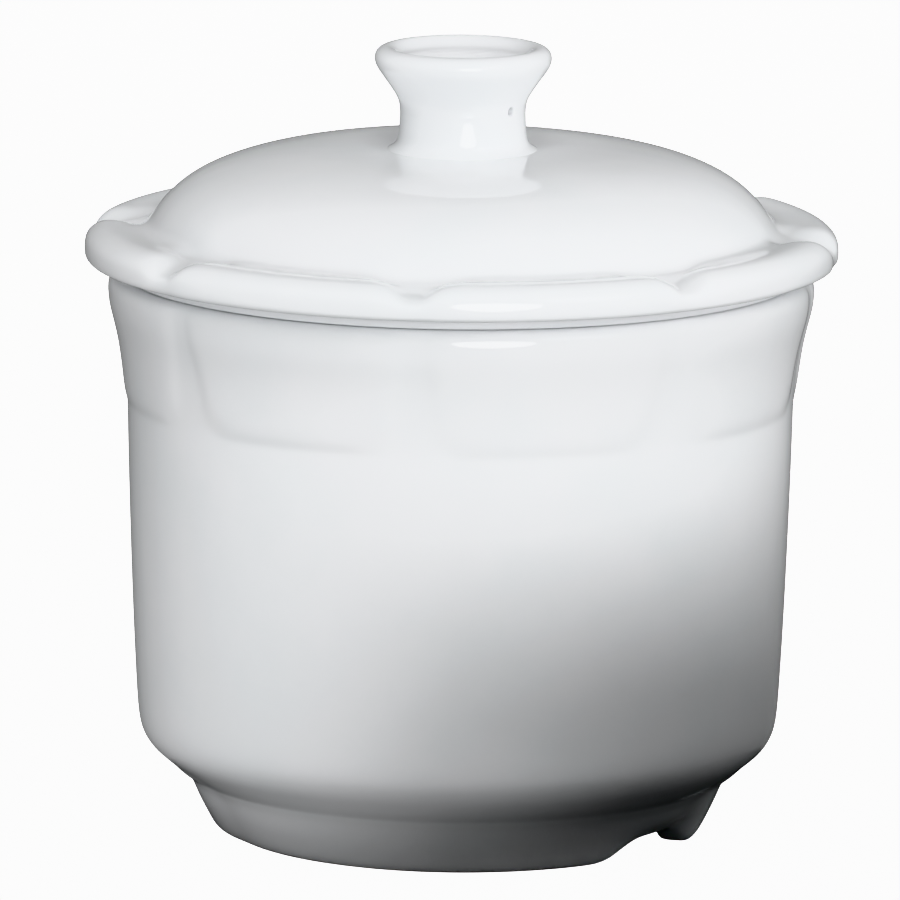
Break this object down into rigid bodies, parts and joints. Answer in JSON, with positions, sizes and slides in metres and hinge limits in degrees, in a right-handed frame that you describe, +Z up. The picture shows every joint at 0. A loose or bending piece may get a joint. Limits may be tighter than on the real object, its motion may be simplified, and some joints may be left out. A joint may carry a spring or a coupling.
{
  "type": "sugar bowl",
  "caption": "Round footed porcelain sugar bowl with a flared lip, raised panels and a domed lift-off lid that carries a dished hollow knob.",
  "frame": {"origin": "centre of the foot ring, on the surface that the bowl stands on", "axes": "+Z up the axis of the bowl, -Y towards the front, +X to the right"},
  "size_m": [0.092, 0.092, 0.097],
  "materials": {
    "bowl_glaze": "clear gloss glaze over white porcelain, bare on the foot ring",
    "lid_glaze": "clear gloss glaze over white porcelain"
  },
  "bodies": {
    "bowl": {"bowl": "bowl_glaze"},
    "lid": {"lid_cover": "lid_glaze", "lid_knob": "lid_glaze"}
  },
  "joints": [
    {"name": "lid_lift", "type": "slide", "parent": "bowl", "child": "lid", "axis": [0, 0, 1], "range_m": [0, 0.08]}
  ]
}
